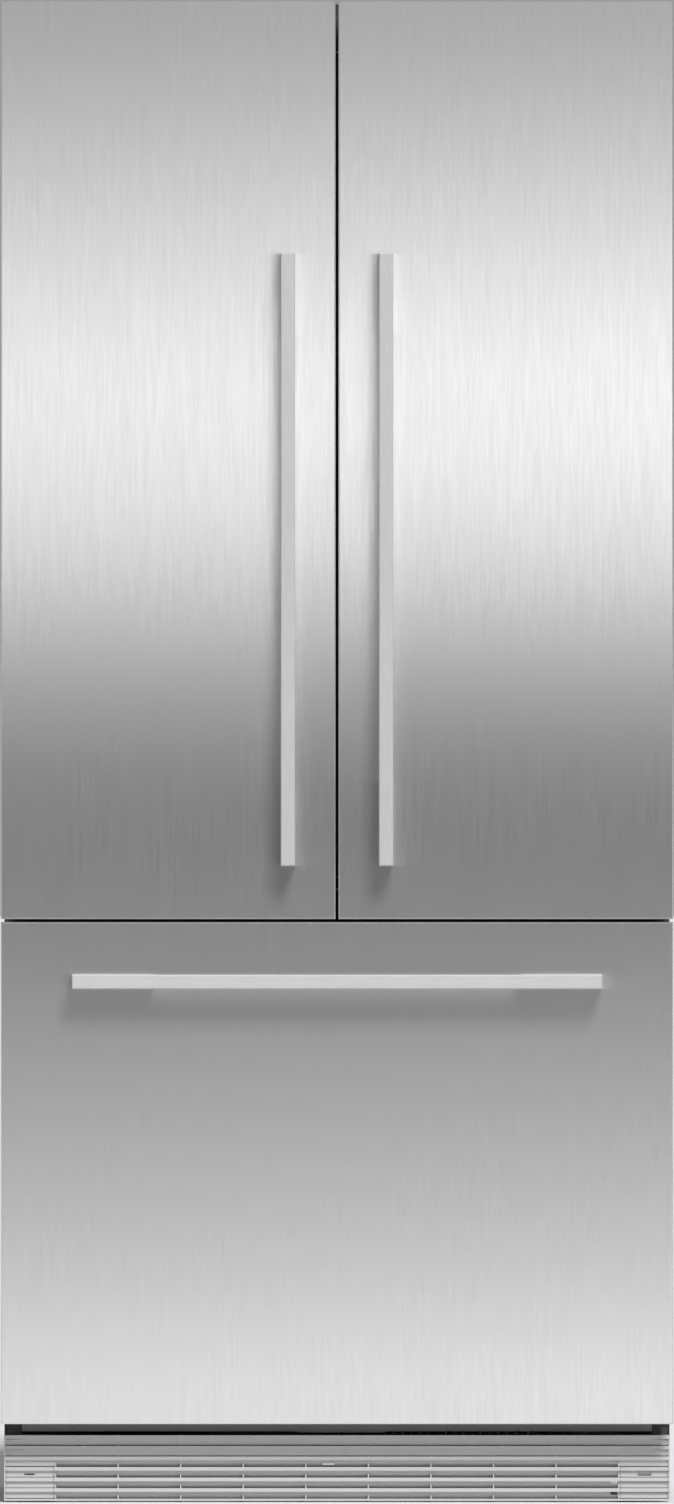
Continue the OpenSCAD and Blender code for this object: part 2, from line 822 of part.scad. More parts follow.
module grille_end_caps() {
    slot_y = [grille_front - 1, grille_front + 9];
    latch_x = [406, 424];
    latch_top = 41.6;
    color(steel) {
        difference() {
            mirror([1, 0, 0]) end_cap();
            blk([-422, -408], slot_y, [36.6, 38.6]);
        }
        difference() {
            end_cap();
            blk(latch_x, slot_y, [latch_top - 5.8, latch_top]);
            for (i = [1 : 3]) hairline(i, [cap_x[0] - 1, cap_x[1] + 1]);
        }
        // latch inside the recess
        blk(latch_x, [grille_front + 6.5, grille_front + 8], [latch_top - 4.6, latch_top]);
    }
}

// ---------- doors ----------

// The folded stainless pan with two stiffeners behind its face
module front_pan(x, z, ribs_x, handle_holes) {
    t = sheet;
    color(steel) difference() {
        union() {
            difference() {
                chamfered(x, [y_front, y_core_front], z, panel_chamfer);
                blk([x[0] + t, x[1] - t], [y_front + t, y_core_front + 1], [z[0] + t, z[1] - t]);
            }
            for (at = ribs_x)
                blk([at - 15, at + 15], [y_front + t, y_core_front], [z[0] + 40, z[1] - 40]);
        }
        for (at = handle_holes) rod_y(at[0], [y_front - 1, y_front + t + 1], at[1], 2.75);
        for (at = handle_holes) rod_y(at[0], [y_front + t, y_core_front + 1], at[1], 8);
    }
}

function door_handle_holes() = [
    for (end = [0, 1], k = [0.25, 0.75])
        [-handle_x, handle_z + (end == 0 ? k * handle_foot_len
            : door_handle_len - k * handle_foot_len)]
];

function drawer_handle_holes() = [
    for (side = [-1, 1], k = [0.25, 0.75])
        [side * (drawer_handle_len / 2 - k * handle_foot_len), drawer_handle_z]
];

module door_panel() {
    front_pan(door_panel_x, door_panel_z, [-360, -handle_x], door_handle_holes());
}

// The block that takes a hinge pin, at one end of the core
module hinge_boss(z) {
    blk([door_core_x[0] + sheet, pivot_x + 14], [y_core_front + sheet, y_core_back - liner_t], z);
}

module door_bosses() {
    hinge_boss([door_core_z[0] + sheet, door_core_z[0] + boss_h]);
    hinge_boss([door_core_z[1] - boss_h, door_core_z[1] - sheet]);
}

module core_pan(x, z) {
    difference() {
        blk(x, [y_core_front, y_core_back - liner_t], z);
        blk([x[0] + sheet, x[1] - sheet], [y_core_front + sheet, y_core_back],
            [z[0] + sheet, z[1] - sheet]);
    }
}

module core_fill(x, z) {
    blk([x[0] + sheet, x[1] - sheet], [y_core_front + sheet, y_core_back - liner_t],
        [z[0] + sheet, z[1] - sheet]);
}

module door_case() {
    color(grey) difference() {
        union() {
            core_pan(door_core_x, door_core_z);
            door_bosses();
        }
        rod_z(pivot_x, pivot_y, [door_core_z[0] - 1, door_core_z[0] + 28], pin_r + run_gap);
        rod_z(pivot_x, pivot_y, [door_core_z[1] - 28, door_core_z[1] + 1], pin_r + run_gap);
    }
}

module door_foam() {
    color(foam) difference() {
        core_fill(door_core_x, door_core_z);
        door_bosses();
    }
}

module door_liner() {
    color(white) {
        blk(door_core_x, [y_core_back - liner_t, y_core_back], door_core_z);
        ring_y(door_dike_x, [y_core_back, y_core_back + dike_reach], door_dike_z, dike_t);
        for (z = bin_z, x = [door_dike_x[0] + dike_t, door_dike_x[1] - dike_t - bin_ledge])
            blk([x, x + bin_ledge], [y_core_back, y_core_back + 70], [z - 12, z]);
    }
}

module gasket_ring(x, z) {
    color(rubber) ring_y(x, [y_core_back, y_case], z, gasket_w);
}

module door_gasket() {
    gasket_ring([pivot_x + 2, -10], [798, 1994]);
}

// A bin that stands on two ledges of the liner, with a grip rail along its front
module door_bin(z) {
    x = [door_dike_x[0] + dike_t + 1, door_dike_x[1] - dike_t - 1];
    y = [y_core_back + 1, y_core_back + 108];
    tub(x, y, [z, z + 100], bin_wall);
    blk(x, [y[1], y[1] + 4], [z + 88, z + 100]);
}

module door_bins() {
    color(clear) for (z = bin_z) door_bin(z);
}

module handle_bar(x, z) {
    chamfered(x, [y_handle, y_handle + handle_bar_t], z, 1.2);
}

module door_handle() {
    x = [-handle_x - handle_w / 2, -handle_x + handle_w / 2];
    z = [handle_z, handle_z + door_handle_len];
    color(bright) difference() {
        union() {
            handle_bar(x, z);
            for (foot_z = [[z[0], z[0] + handle_foot_len], [z[1] - handle_foot_len, z[1]]])
                blk(x, [y_handle + handle_bar_t, y_front], foot_z);
        }
        for (at = door_handle_holes())
            rod_y(at[0], [y_front - 22, y_front + 1], at[1], screw_r + run_gap);
    }
    handle_screws(door_handle_holes());
}

// The screws that hold a handle, put in from behind the panel's face
module handle_screws(holes) {
    inside = y_front + sheet;
    color(steel) for (at = holes) {
        rod_y(at[0], [y_front - 18, inside], at[1], screw_r);
        rod_y(at[0], [inside, inside + 3], at[1], 2 * screw_r);
    }
}

// The vertical bar that both doors' gaskets close on; it turns on pins at the left door's edge
module mullion_flap() {
    color(grey) {
        translate([0, 0, flap_z[0]]) linear_extrude(flap_z[1] - flap_z[0]) union() {
            translate(flap_pivot) circle(r = flap_r);
            translate([flap_pivot[0], flap_pivot[1] - flap_r])
                square([flap_tip_x - flap_pivot[0], 2 * flap_r]);
        }
        rod_z(flap_pivot[0], flap_pivot[1], [flap_z[0] - 9, flap_z[1] + 9], flap_pin_r);
    }
}

// The ears on the left door's liner that hold the flap's pins
module flap_ears() {
    for (z = [[flap_z[0] - 11, flap_z[0] - 1], [flap_z[1] + 1, flap_z[1] + 11]])
        difference() {
            blk([-48, -27], [y_core_back, flap_pivot[1] + 9], z);
            rod_z(flap_pivot[0], flap_pivot[1], [z[0] - 1, z[1] + 1], flap_pin_r + run_gap);
        }
}

module left_door_panel() { door_panel(); }
module left_door_case() { door_case(); }
module left_door_foam() { door_foam(); }
module left_door_liner() {
    door_liner();
    color(white) flap_ears();
}
module left_door_gasket() { door_gasket(); }
module left_handle() { door_handle(); }
module left_door_bins() { door_bins(); }

module right_door_panel() { mirror([1, 0, 0]) door_panel(); }
module right_door_case() { mirror([1, 0, 0]) door_case(); }
module right_door_foam() { mirror([1, 0, 0]) door_foam(); }
module right_door_liner() { mirror([1, 0, 0]) door_liner(); }
module right_door_gasket() { mirror([1, 0, 0]) door_gasket(); }
module right_handle() { mirror([1, 0, 0]) door_handle(); }
module right_door_bins() { mirror([1, 0, 0]) door_bins(); }

// ---------- freezer drawer front ----------

module drawer_panel() {
    front_pan([-front_w / 2, front_w / 2], drawer_panel_z,
        [for (at = drawer_handle_holes()) at[0]], drawer_handle_holes());
}

module drawer_case() {
    color(grey) core_pan(drawer_core_x, drawer_core_z);
}

module drawer_foam() {
    color(foam) core_fill(drawer_core_x, drawer_core_z);
}

module drawer_liner() {
    color(white) {
        blk(drawer_core_x, [y_core_back - liner_t, y_core_back], drawer_core_z);
        ring_y([-360, 360], [y_core_back, y_core_back + 22], [168, 724], dike_t);
    }
}

module drawer_gasket() {
    gasket_ring([pivot_x + 2, -pivot_x - 2], [120, 773]);
}

module drawer_handle() {
    x = [-drawer_handle_len / 2, drawer_handle_len / 2];
    z = [drawer_handle_z - handle_w / 2, drawer_handle_z + handle_w / 2];
    color(bright) difference() {
        union() {
            handle_bar(x, z);
            for (foot_x = [[x[0], x[0] + handle_foot_len], [x[1] - handle_foot_len, x[1]]])
                blk(foot_x, [y_handle + handle_bar_t, y_front], z);
        }
        for (at = drawer_handle_holes())
            rod_y(at[0], [y_front - 22, y_front + 1], at[1], screw_r + run_gap);
    }
    handle_screws(drawer_handle_holes());
}

// ---------- nodes ----------

outer_case();
rear_panel();
base_frame();
fridge_liner();
freezer_liner();
cabinet_foam();
middle_rail();
glass_shelves();
shelf_frames();
crisper_rails();
air_tower();
light_lenses();
control_panel();
fridge_evaporator();
freezer_evaporator();
freezer_air_cover();
compressor();
condenser();
drain_pan();
machine_cover();
water_valve();
top_hinges();
lower_hinges();
drawer_rails_outer();
kick_grille();
grille_end_caps();
ice_maker();
top_bracket();
condenser_fan();
freezer_fan();
left_foot();
right_foot();
rear_rollers();
left_door_panel();
left_door_case();
left_door_foam();
left_door_liner();
left_door_gasket();
left_handle();
left_door_bins();
mullion_flap();
right_door_panel();
right_door_case();
right_door_foam();
right_door_liner();
right_door_gasket();
right_handle();
right_door_bins();
drawer_panel();
drawer_case();
drawer_foam();
drawer_liner();
drawer_gasket();
drawer_handle();
drawer_rails_inner();
freezer_bin();
drawer_rails_mid();
freezer_tray();
left_crisper();
right_crisper();
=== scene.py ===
"""Looks for the french door refrigerator: materials, small details, light and camera."""

import json
import math

import bpy
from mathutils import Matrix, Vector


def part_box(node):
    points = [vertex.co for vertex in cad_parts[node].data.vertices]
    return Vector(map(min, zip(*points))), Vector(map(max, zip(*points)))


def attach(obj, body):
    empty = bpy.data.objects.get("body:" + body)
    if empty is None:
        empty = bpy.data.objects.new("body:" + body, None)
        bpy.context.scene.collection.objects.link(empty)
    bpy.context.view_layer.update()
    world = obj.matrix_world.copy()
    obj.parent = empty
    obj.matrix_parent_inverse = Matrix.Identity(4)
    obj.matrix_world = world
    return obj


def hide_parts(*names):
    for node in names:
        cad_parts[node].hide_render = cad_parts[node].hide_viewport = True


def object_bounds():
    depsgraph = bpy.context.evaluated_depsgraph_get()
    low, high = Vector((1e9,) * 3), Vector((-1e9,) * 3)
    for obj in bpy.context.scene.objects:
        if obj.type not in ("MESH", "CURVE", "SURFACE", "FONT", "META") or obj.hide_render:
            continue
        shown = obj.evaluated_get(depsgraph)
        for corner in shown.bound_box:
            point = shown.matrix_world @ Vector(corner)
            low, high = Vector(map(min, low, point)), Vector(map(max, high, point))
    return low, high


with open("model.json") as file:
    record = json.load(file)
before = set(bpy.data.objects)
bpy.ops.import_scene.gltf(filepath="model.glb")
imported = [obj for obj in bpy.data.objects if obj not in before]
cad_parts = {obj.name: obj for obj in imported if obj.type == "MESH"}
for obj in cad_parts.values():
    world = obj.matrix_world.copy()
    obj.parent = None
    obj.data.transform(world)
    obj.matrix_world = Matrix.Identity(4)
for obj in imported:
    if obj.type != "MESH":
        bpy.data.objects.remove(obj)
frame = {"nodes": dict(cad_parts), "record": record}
NODES = frame["nodes"]
cad_low, cad_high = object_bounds()
SCENE = bpy.context.scene


# ---------- shader helpers ----------
# Noise scales are in features per metre, and relief, radii and widths are in metres.

# Noise rarely leaves this range
NOISE_LOW = 0.3
NOISE_HIGH = 0.7
# The cosine of an edge's turn at which the lighter edge, partly wear and partly a painted highlight,
# begins, and at which it is full
EDGE_HIGHLIGHT_START = 0.98
EDGE_HIGHLIGHT_FULL = 0.8
EDGE_HIGHLIGHT_SAMPLES = 4


class Shader:
    """One material and short ways to add nodes to it."""

    def __init__(self, name, base, roughness, metallic=0.0, **sockets):
        self.material = bpy.data.materials.new(name)
        self.material.use_nodes = True
        self.tree = self.material.node_tree
        self.bsdf = self.tree.nodes["Principled BSDF"]
        self.base = base
        self.roughness = roughness
        self.last_bump = None
        self.bsdf.inputs["Base Color"].default_value = (*base, 1.0)
        self.bsdf.inputs["Roughness"].default_value = roughness
        self.bsdf.inputs["Metallic"].default_value = metallic
        for socket, value in sockets.items():
            self.bsdf.inputs[socket.replace("_", " ")].default_value = value

    def node(self, kind, **settings):
        made = self.tree.nodes.new(kind)
        for key, value in settings.items():
            setattr(made, key, value)
        return made

    def link(self, source, target):
        self.tree.links.new(source, target)

    def noise(self, scale, detail=2.0, stretch=(1.0, 1.0, 1.0)):
        """Noise in the part's own metres, squeezed along each axis by stretch."""
        place = self.node("ShaderNodeTexCoord")
        mapping = self.node("ShaderNodeMapping")
        mapping.inputs["Scale"].default_value = stretch
        texture = self.node("ShaderNodeTexNoise")
        texture.inputs["Scale"].default_value = scale
        texture.inputs["Detail"].default_value = detail
        self.link(place.outputs["Object"], mapping.inputs["Vector"])
        self.link(mapping.outputs["Vector"], texture.inputs["Vector"])
        return texture.outputs["Fac"]

    def spread(self, factor, low, high):
        """Maps noise to low..high."""
        ranged = self.node("ShaderNodeMapRange")
        ranged.inputs["From Min"].default_value = NOISE_LOW
        ranged.inputs["From Max"].default_value = NOISE_HIGH
        ranged.inputs["To Min"].default_value = low
        ranged.inputs["To Max"].default_value = high
        self.link(factor, ranged.inputs["Value"])
        return ranged.outputs["Result"]

    def tint(self, factor, change):
        """Varies the base colour's brightness by +/- change."""
        mix = self.node("ShaderNodeMix", data_type="RGBA", clamp_factor=True)
        dark = [channel * (1.0 - change) for channel in self.base]
        light = [min(1.0, channel * (1.0 + change)) for channel in self.base]
        mix.inputs["A"].default_value = (*dark, 1.0)
        mix.inputs["B"].default_value = (*light, 1.0)
        self.link(self.spread(factor, 0.0, 1.0), mix.inputs["Factor"])
        self.link(mix.outputs["Result"], self.bsdf.inputs["Base Color"])

    def rough(self, factor, change):
        """Varies the roughness by +/- change."""
        low, high = self.roughness - change, self.roughness + change
        self.link(self.spread(factor, low, high), self.bsdf.inputs["Roughness"])

    def bump(self, factor, height):
        """Adds relief of that height on top of any earlier relief."""
        bump = self.node("ShaderNodeBump")
        bump.inputs["Distance"].default_value = height
        self.link(factor, bump.inputs["Height"])
        if self.last_bump:
            self.link(self.last_bump, bump.inputs["Normal"])
        self.last_bump = bump.outputs["Normal"]
        self.link(bump.outputs["Normal"], self.bsdf.inputs["Normal"])

    def edge_highlight_and_wear(self, radius, color, amount):
        """Mixes color in along edges, over whatever the base colour is so far: partly wear, partly a
        painted edge highlight.
        """
        bevel = self.node("ShaderNodeBevel")
        bevel.samples = EDGE_HIGHLIGHT_SAMPLES
        bevel.inputs["Radius"].default_value = radius
        flat = self.node("ShaderNodeNewGeometry")
        dot = self.node("ShaderNodeVectorMath", operation="DOT_PRODUCT")
        self.link(bevel.outputs["Normal"], dot.inputs[0])
        self.link(flat.outputs["True Normal"], dot.inputs[1])
        mask = self.node("ShaderNodeMapRange")
        mask.inputs["From Min"].default_value = EDGE_HIGHLIGHT_START
        mask.inputs["From Max"].default_value = EDGE_HIGHLIGHT_FULL
        mask.inputs["To Max"].default_value = amount
        self.link(dot.outputs["Value"], mask.inputs["Value"])
        mix = self.node("ShaderNodeMix", data_type="RGBA")
        mix.inputs["A"].default_value = (*self.base, 1.0)
        mix.inputs["B"].default_value = (*color, 1.0)
        given = self.bsdf.inputs["Base Color"].links
        if given:
            self.link(given[0].from_socket, mix.inputs["A"])
        self.link(mask.outputs["Result"], mix.inputs["Factor"])
        self.link(mix.outputs["Result"], self.bsdf.inputs["Base Color"])


# Brush marks per metre, across the grain and along it
BRUSH_ACROSS = 600.0
BRUSH_ALONG = 30.0
# Smudges are coarser: they have this share of the brush marks' scale
SMUDGE_SHARE = 0.4
BRUSH_DEPTH = 0.0000006


def brushed_steel(name, grain, base, roughness, anisotropic, streak, metallic=0.86):
    """Steel brushed along axis grain, 0 for X or 2 for Z. Less metallic stands for more lacquer."""
    steel = Shader(name, base, roughness, metallic=metallic, Anisotropic=anisotropic)
    stretch = [BRUSH_ACROSS] * 3
    stretch[grain] = BRUSH_ALONG
    lines = steel.noise(1.0, detail=3.0, stretch=stretch)
    steel.tint(lines, streak)
    steel.rough(steel.noise(1.0, stretch=[s * SMUDGE_SHARE for s in stretch]), 0.02)
    steel.bump(lines, BRUSH_DEPTH)
    # the highlight stretches across the grain, whichever way the piece is turned
    across = steel.node("ShaderNodeVectorTransform", vector_type="VECTOR")
    across.convert_from = "OBJECT"
    across.convert_to = "WORLD"
    across.inputs["Vector"].default_value = (0.0, 0.0, 1.0) if grain == 0 else (1.0, 0.0, 0.0)
    steel.link(across.outputs["Vector"], steel.bsdf.inputs["Tangent"])
    return steel.material


def plated_steel(name):
    """Zinc-plated sheet, pressings and coils."""
    steel = Shader(name, (0.6, 0.61, 0.62), 0.36, metallic=1.0)
    spangle = steel.noise(180.0, detail=3.0)
    steel.tint(spangle, 0.08)
    steel.rough(spangle, 0.08)
    # lighter edges: partly wear, partly a painted edge highlight
    steel.edge_highlight_and_wear(0.0006, (0.85, 0.85, 0.85), 0.6)
    return steel.material


def painted_sheet(name, base, roughness=0.45):
    """Powder-coated sheet steel with a slight orange peel."""
    paint = Shader(name, base, roughness)
    paint.tint(paint.noise(40.0, detail=3.0), 0.025)
    paint.rough(paint.noise(35.0), 0.04)
    paint.bump(paint.noise(900.0, detail=1.0), 0.00003)
    # lighter edges: partly wear, partly a painted edge highlight
    paint.edge_highlight_and_wear(0.0007, [channel * 1.6 + 0.05 for channel in base], 0.45)
    return paint.material


def moulded(name, base, roughness=0.35, grain=1100.0, relief=0.000005, **sockets):
    """Injection-moulded or vacuum-formed plastic."""
    plastic = Shader(name, base, roughness, **sockets)
    plastic.tint(plastic.noise(9.0), 0.02)
    plastic.rough(plastic.noise(15.0), 0.02)
    plastic.bump(plastic.noise(grain, detail=1.0), relief)
    return plastic.material


def clear_plastic(name):
    """Clear moulded bins with faint flow marks and scuffs."""
    clear = Shader(name, (0.93, 0.96, 0.98), 0.12, IOR=1.49)
    clear.bsdf.inputs["Transmission Weight"].default_value = 0.92
    scuffs = clear.noise(1.0, detail=4.0, stretch=(60.0, 220.0, 25.0))
    clear.tint(clear.noise(14.0), 0.03)
    clear.rough(scuffs, 0.06)
    clear.bump(clear.noise(30.0), 0.00015)
    return clear.material


def shelf_glass(name):
    """Toughened glass, green at depth, with a light film of finger marks."""
    glass = Shader(name, (0.86, 0.96, 0.92), 0.04, IOR=1.5)
    glass.bsdf.inputs["Transmission Weight"].default_value = 0.95
    glass.tint(glass.noise(5.0), 0.02)
    glass.rough(glass.noise(22.0, detail=4.0), 0.03)
    glass.bump(glass.noise(12.0), 0.00003)
    return glass.material


def rigid_foam(name):
    """Blown polyurethane foam: cells, blisters and patchy colour."""
    foam = Shader(name, (0.72, 0.6, 0.28), 0.85)
    foam.tint(foam.noise(30.0, detail=4.0), 0.18)
    foam.bump(foam.noise(420.0, detail=3.0), 0.0006)
    foam.bump(foam.noise(25.0), 0.002)
    return foam.material


DIODE_GLOW_LOW = 3.0
DIODE_GLOW_HIGH = 4.0


def light_cover(name):
    """Frosted cover with light-emitting diodes behind it."""
    cover = Shader(name, (0.95, 0.97, 1.0), 0.4)
    cover.bsdf.inputs["Emission Color"].default_value = (0.93, 0.97, 1.0, 1.0)
    glow = cover.spread(cover.noise(28.0), DIODE_GLOW_LOW, DIODE_GLOW_HIGH)
    cover.link(glow, cover.bsdf.inputs["Emission Strength"])
    cover.bump(cover.noise(700.0), 0.00005)
    return cover.material


PALE_STEEL = (0.78, 0.78, 0.78)
BLASTED_STEEL = (0.51, 0.51, 0.51)
PANEL_STEEL = brushed_steel("panel_steel", 2, PALE_STEEL, 0.24, 0.9, 0.028)
UPRIGHT_BAR = brushed_steel("upright_bar_steel", 2, BLASTED_STEEL, 0.5, 0.3, 0.05, metallic=0.3)
LEVEL_BAR = brushed_steel("level_bar_steel", 0, BLASTED_STEEL, 0.5, 0.3, 0.05, metallic=0.3)
GRILLE_STEEL = brushed_steel("grille_steel", 0, BLASTED_STEEL, 0.5, 0.3, 0.03, metallic=0.2)
PLATED = plated_steel("plated_steel")
GREY_SHEET = painted_sheet("grey_sheet", (0.36, 0.37, 0.38))
DARK_SHEET = painted_sheet("dark_sheet", (0.06, 0.06, 0.062), roughness=0.5)
# near-black sheet as painted shade, for the parts that show through the gaps between the fronts
GAP_SHADE_SHEET = painted_sheet("gap_shade_sheet", (0.03, 0.03, 0.032), roughness=0.5)
# lighter grey as painted light, for the cross member in the shaded recess above the kick grille
RECESS_LIGHT_SHEET = painted_sheet("recess_light_sheet", (0.32, 0.32, 0.33), roughness=0.6)
COMPRESSOR_PAINT = painted_sheet("compressor_paint", (0.02, 0.02, 0.022), roughness=0.3)
LINER = moulded("liner_plastic", (0.84, 0.85, 0.86), roughness=0.32)
TRIM = moulded("trim_plastic", (0.78, 0.79, 0.8), roughness=0.38)
BLACK_PLASTIC = moulded("black_plastic", (0.025, 0.025, 0.027), roughness=0.45)
TOUCH_PANEL = moulded("touch_panel", (0.015, 0.015, 0.018), roughness=0.12, relief=0.000002)
VALVE = moulded("valve_plastic", (0.72, 0.72, 0.69), roughness=0.5)
WIPER = moulded("wiper_rubber", (0.03, 0.03, 0.03), roughness=0.7, grain=700.0, relief=0.0001)
GASKET = moulded("gasket_rubber", (0.33, 0.34, 0.35), roughness=0.6, grain=500.0, relief=0.0001)
COIL = plated_steel("coil_metal")
CLEAR = clear_plastic("clear_bin")
GLASS = shelf_glass("shelf_glass")
FOAM = rigid_foam("insulation")
LIGHT = light_cover("light_cover")

LOOKS = {
    "panel_steel": PANEL_STEEL,
    "handle_steel": UPRIGHT_BAR,
    "grille_steel": GRILLE_STEEL,
    "plated_steel": PLATED,
    "grey_sheet": GREY_SHEET,
    "dark_sheet": DARK_SHEET,
    "compressor_black": COMPRESSOR_PAINT,
    "white_liner": LINER,
    "white_trim": TRIM,
    "insulation": FOAM,
    "shelf_glass": GLASS,
    "clear_bin": CLEAR,
    "gasket_grey": GASKET,
    "coil_metal": COIL,
    "black_plastic": BLACK_PLASTIC,
    "panel_black": TOUCH_PANEL,
    "light_cover": LIGHT,
    "valve_plastic": VALVE,
}


def paint(obj, material):
    obj.data.materials.clear()
    obj.data.materials.append(material)


for part in frame["record"]["subparts"]:
    paint(NODES[part["node"]], LOOKS[part["material_slot"]])
paint(NODES["drawer_handle"], LEVEL_BAR)
# painted shade: near-black, because they show through the gaps between the fronts and stand in for the
# shadow in those gaps
GAP_SHADE_NODES = (
    "left_door_case",
    "right_door_case",
    "drawer_case",
    "middle_rail",
    "mullion_flap",
    "lower_hinges",
    "top_bracket",
)
for name in GAP_SHADE_NODES:
    paint(NODES[name], GAP_SHADE_SHEET)


def paint_region(name, low, high, material):
    """Paints the faces of a node whose centres lie between two corners, in metres."""
    mesh = NODES[name].data
    mesh.materials.append(material)
    for face in mesh.polygons:
        if all(low[i] <= face.center[i] <= high[i] for i in range(3)):
            face.material_index = len(mesh.materials) - 1


# How far a painted region reaches past the faces that it takes in
REACH = 0.001
# the cross member that shows in the recess above the kick grille, painted lighter grey than the rest
# of the frame as painted light in that shaded recess
FRAME_LOW, FRAME_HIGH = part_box("base_frame")
CROSS_HALF_WIDTH = 0.4255
CROSS_BOTTOM = 0.093
paint_region(
    "base_frame",
    (-CROSS_HALF_WIDTH, FRAME_LOW.y - REACH, CROSS_BOTTOM),
    (CROSS_HALF_WIDTH, FRAME_HIGH.y, FRAME_HIGH.z + REACH),
    RECESS_LIGHT_SHEET,
)
# the front edge of the wrapper, which the doors close against, painted near-black as painted shade in
# the gaps between the fronts
CASE_LOW, CASE_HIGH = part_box("outer_case")
FRONT_EDGE_DEPTH = 0.002
paint_region(
    "outer_case",
    (CASE_LOW.x - REACH, CASE_LOW.y - REACH, CASE_LOW.z - REACH),
    (CASE_HIGH.x + REACH, CASE_LOW.y + FRONT_EDGE_DEPTH, CASE_HIGH.z + REACH),
    GAP_SHADE_SHEET,
)
# the guide blocks for the folding bar, in the middle of the fridge opening, painted black as painted
# shade in the centre gap
LINER_LOW, LINER_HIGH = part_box("fridge_liner")
GUIDE_LEFT = -0.021
GUIDE_RIGHT = 0.031
GUIDE_DEPTH = 0.03
paint_region(
    "fridge_liner",
    (GUIDE_LEFT, LINER_LOW.y - REACH, LINER_LOW.z - REACH),
    (GUIDE_RIGHT, LINER_LOW.y + GUIDE_DEPTH, LINER_HIGH.z + REACH),
    BLACK_PLASTIC,
)


WELD_DISTANCE = 0.00001
# Faces that meet at less than this, in degrees, become one
FLAT_ANGLE = 0.5
# Edges that turn more than this, in degrees, are rounded
EDGE_ANGLE = 35


def soften(name, width):
    """Rounds a CAD node's edges a little, so that they catch the light."""
    obj = NODES[name]
    weld = obj.modifiers.new("weld", "WELD")
    weld.merge_threshold = WELD_DISTANCE
    flatten = obj.modifiers.new("flatten", "DECIMATE")
    flatten.decimate_type = "DISSOLVE"
    flatten.angle_limit = math.radians(FLAT_ANGLE)
    flatten.delimit = {"MATERIAL"}
    bevel = obj.modifiers.new("bevel", "BEVEL")
    bevel.width = width
    bevel.segments = 2
    bevel.limit_method = "ANGLE"
    bevel.angle_limit = math.radians(EDGE_ANGLE)
    for face in obj.data.polygons:
        face.use_smooth = False


# How far the edges are rounded, in metres
SOFT_EDGES = {
    0.0004: ["left_door_panel", "right_door_panel", "drawer_panel"],
    0.0003: ["left_handle", "right_handle", "drawer_handle", "kick_grille", "grille_end_caps"],
    0.0006: ["outer_case", "base_frame", "machine_cover", "top_hinges", "lower_hinges", "top_bracket"],
    0.0008: ["left_door_case", "right_door_case", "drawer_case", "middle_rail", "drawer_rails_inner"],
    0.0009: ["left_door_bins", "right_door_bins", "left_crisper", "right_crisper", "freezer_bin"],
    0.001: ["freezer_tray", "shelf_frames", "crisper_rails", "water_valve", "mullion_flap"],
    0.0015: ["glass_shelves", "air_tower", "freezer_air_cover", "control_panel", "light_lenses"],
    0.003: ["left_door_liner", "right_door_liner", "drawer_liner", "ice_maker"],
    0.002: ["fridge_liner", "freezer_liner"],
}
for width, names in SOFT_EDGES.items():
    for name in names:
        soften(name, width)


# ---------- added pieces ----------


def add_object(name, data):
    obj = bpy.data.objects.new(name, data)
    SCENE.collection.objects.link(obj)
    return obj


def make_mesh(name, vertices, faces):
    mesh = bpy.data.meshes.new(name)
    mesh.from_pydata(vertices, [], faces)
    return add_object(name, mesh)


def loft(name, rings):
    """A closed body through rings that have the same number of points."""
    count = len(rings[0])
    vertices = [point for ring in rings for point in ring]
    faces = [tuple(reversed(range(count)))]
    for level in range(len(rings) - 1):
        for i in range(count):
            a = level * count + i
            b = level * count + (i + 1) % count
            faces.append((a, b, b + count, a + count))
    faces.append(tuple(range((len(rings) - 1) * count, len(rings) * count)))
    return make_mesh(name, vertices, faces)


CORNER_STEPS = 5


def rounded_outline(low, high, radius, inset):
    """A rectangle with round corners from above, drawn in by inset."""
    points = []
    for corner, (side_x, side_y) in enumerate([(1, 1), (-1, 1), (-1, -1), (1, -1)]):
        x = (high[0] if side_x > 0 else low[0]) - side_x * radius
        y = (high[1] if side_y > 0 else low[1]) - side_y * radius
        for i in range(CORNER_STEPS + 1):
            turn = math.pi / 2 * (corner + i / CORNER_STEPS)
            reach = radius - inset
            points.append((x + reach * math.cos(turn), y + reach * math.sin(turn)))
    return points


# The folding bar's pins stand this far out of its ends
FLAP_PIN = 0.009
WIPER_RISE = 0.0012
WIPER_CORNER = 0.003
# The wipers start past the ears on the door that hold the pins, and stay in from the other sides
EAR_CLEARANCE = 0.023
WIPER_MARGIN = 0.0005
# How far a wiper is drawn in at each share of its rise
WIPER_LEVELS = ((0.0, 0.0), (0.6, 0.0002), (0.85, 0.0006), (1.0, 0.0013))


def end_wipers():
    """Rubber wipers on both ends of the folding bar: they close the gap to the guide blocks."""
    low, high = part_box("mullion_flap")
    start = (low.x + EAR_CLEARANCE, low.y + WIPER_MARGIN)
    end = (high.x - WIPER_MARGIN, high.y - WIPER_MARGIN)
    for name, base, up in (("top", high.z - FLAP_PIN, 1.0), ("bottom", low.z + FLAP_PIN, -1.0)):
        rings = []
        for share, inset in WIPER_LEVELS:
            z = base + up * share * WIPER_RISE
            rings.append([(x, y, z) for x, y in rounded_outline(start, end, WIPER_CORNER, inset)])
        if up < 0:
            rings.reverse()
        wiper = loft("flap_wiper_" + name, rings)
        paint(wiper, WIPER)
        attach(wiper, "mullion")


SEAL_WIDTH = 0.016
# Half of a seal's section, in shares of its width and depth
SEAL_FOOT = ((0.47, 0.0), (0.47, 0.14), (0.24, 0.2))
SEAL_FOLD = ((0.2, 0.34), (0.4, 0.46), (0.4, 0.54), (0.24, 0.62))
SEAL_MAGNET_TUBE = ((0.46, 0.68), (0.49, 0.76), (0.49, 0.9), (0.46, 0.97), (0.4, 1.0))
SEAL_HALF = SEAL_FOOT + SEAL_FOLD + SEAL_MAGNET_TUBE


